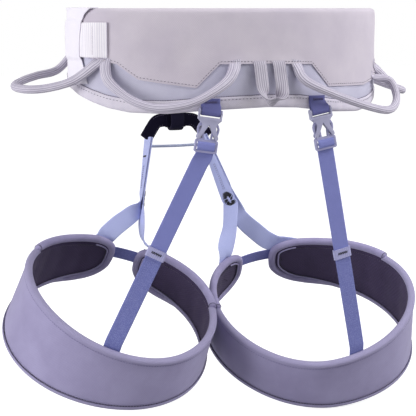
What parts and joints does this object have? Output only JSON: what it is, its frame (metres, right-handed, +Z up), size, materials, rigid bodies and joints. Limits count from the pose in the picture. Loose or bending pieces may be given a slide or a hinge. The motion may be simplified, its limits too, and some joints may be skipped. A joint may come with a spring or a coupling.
{
  "type": "climbing harness",
  "caption": "Sit harness with a padded waist belt, belay and tie-in points, gear loops, padded leg loops, and rear elastic straps with side-release buckles.",
  "frame": {"origin": "centre of the waist opening, level with the middle of the waist webbing", "axes": "+X to the wearer's right, +Y to the wearer's front, +Z up"},
  "size_m": [0.4707, 0.2742, 0.4241],
  "materials": {
    "shell_fabric": "matt woven shell",
    "panel_fabric": "matt woven panel",
    "foam": "closed-cell foam inside a fabric cover",
    "lining_fabric": "dark mesh lining",
    "trim_fabric": "folded knit trim",
    "white_webbing": "ribbed woven webbing",
    "keeper_elastic": "smooth elastic band",
    "dark_webbing": "abrasion-resistant dark webbing",
    "riser_webbing": "fine woven webbing",
    "strap_webbing": "smooth woven webbing",
    "strap_elastic": "elastic tape with a speckled weave",
    "leg_fabric": "matt woven shell",
    "roll_fabric": "rolled knit edge",
    "binding_fabric": "folded binding tape",
    "gear_braid": "ribbed braid over a flexible tube",
    "haul_tape": "ribbed flat tape",
    "buckle_plastic": "satin moulded acetal",
    "buckle_metal": "satin anodised plate",
    "link_cord": "thin elastic cord"
  },
  "bodies": {
    "belt": {"waist_shell": "shell_fabric", "waist_lower_panel": "panel_fabric", "waist_foam": "foam", "waist_lining": "lining_fabric", "waist_bottom_trim": "trim_fabric", "waist_webbing": "white_webbing", "adjusting_strap": "white_webbing", "strap_keeper": "keeper_elastic", "waist_buckle_frame": "buckle_metal", "waist_buckle_slider": "buckle_metal", "upper_tie_in": "dark_webbing", "lower_tie_in": "dark_webbing", "riser_link_cord": "link_cord", "left_rear_tab": "strap_webbing", "right_rear_tab": "strap_webbing"},
    "belay_loop": {"belay_loop": "dark_webbing"},
    "haul_loop": {"haul_loop": "haul_tape"},
    "gear_loop_front_left": {"gear_loop_front_left": "gear_braid"},
    "gear_loop_rear_left": {"gear_loop_rear_left": "gear_braid"},
    "gear_loop_rear_right": {"gear_loop_rear_right": "gear_braid"},
    "gear_loop_front_right": {"gear_loop_front_right": "gear_braid"},
    "left_leg": {"left_leg_shell": "leg_fabric", "left_leg_foam": "foam", "left_leg_lining": "lining_fabric", "left_leg_front_rolls": "roll_fabric", "left_leg_top_binding": "binding_fabric", "left_leg_bottom_binding": "binding_fabric", "left_leg_front_elastic": "strap_elastic", "left_riser_outer": "riser_webbing", "left_riser_inner": "riser_webbing", "left_buckle_female": "buckle_plastic", "left_rear_elastic": "strap_elastic"},
    "left_rear_strap": {"left_buckle_male": "buckle_plastic", "left_rear_strap": "strap_webbing", "left_elastic_sleeve": "keeper_elastic"},
    "right_leg": {"right_leg_shell": "leg_fabric", "right_leg_foam": "foam", "right_leg_lining": "lining_fabric", "right_leg_front_rolls": "roll_fabric", "right_leg_top_binding": "binding_fabric", "right_leg_bottom_binding": "binding_fabric", "right_leg_front_elastic": "strap_elastic", "right_riser_outer": "riser_webbing", "right_riser_inner": "riser_webbing", "right_buckle_female": "buckle_plastic", "right_rear_elastic": "strap_elastic"},
    "right_rear_strap": {"right_buckle_male": "buckle_plastic", "right_rear_strap": "strap_webbing", "right_elastic_sleeve": "keeper_elastic"}
  },
  "joints": [
    {"name": "left_leg_swing", "type": "hinge", "parent": "belt", "child": "left_leg", "pos_m": [-0.06005, -0.10502, -0.065], "axis": [0.1008, 0.9689, -0.2258], "range_deg": [0, 20], "deforming": ["left_rear_tab"]},
    {"name": "left_buckle_release", "type": "slide", "parent": "left_leg", "child": "left_rear_strap", "axis": [-0.1439, 0.0339, -0.989], "range_m": [0, 0.026], "deforming": ["left_rear_elastic"]},
    {"name": "right_leg_swing", "type": "hinge", "parent": "belt", "child": "right_leg", "pos_m": [0.05547, -0.10606, -0.065], "axis": [0.0818, -0.9709, 0.2253], "range_deg": [0, 20], "deforming": ["right_rear_tab"]},
    {"name": "right_buckle_release", "type": "slide", "parent": "right_leg", "child": "right_rear_strap", "axis": [0.1904, -0.0128, -0.9816], "range_m": [0, 0.026], "deforming": ["right_rear_elastic"]},
    {"name": "gear_loop_front_left_lift", "type": "hinge", "parent": "belt", "child": "gear_loop_front_left", "pos_m": [-0.15542, 0.00077, -0.0285], "axis": [0.0648, 0.9975, -0.0293], "range_deg": [0, 50]},
    {"name": "gear_loop_rear_left_lift", "type": "hinge", "parent": "belt", "child": "gear_loop_rear_left", "pos_m": [-0.09483, -0.0847, -0.027], "axis": [-0.9045, 0.4265, 0], "range_deg": [0, 50]},
    {"name": "gear_loop_rear_right_lift", "type": "hinge", "parent": "belt", "child": "gear_loop_rear_right", "pos_m": [0.09256, -0.08499, -0.027], "axis": [-0.909, -0.4169, 0], "range_deg": [0, 50]},
    {"name": "gear_loop_front_right_lift", "type": "hinge", "parent": "belt", "child": "gear_loop_front_right", "pos_m": [0.15733, 0.00178, -0.0285], "axis": [0.0269, -0.9992, 0.0288], "range_deg": [0, 50]},
    {"name": "haul_loop_lift", "type": "hinge", "parent": "belt", "child": "haul_loop", "pos_m": [0, -0.1132, -0.025], "axis": [-1, 0, 0], "range_deg": [0, 70]},
    {"name": "belay_loop_twist", "type": "hinge", "parent": "belt", "child": "belay_loop", "pos_m": [0, 0.136, -0.0465], "axis": [0, 0, 1], "range_deg": [-6, 6]}
  ]
}
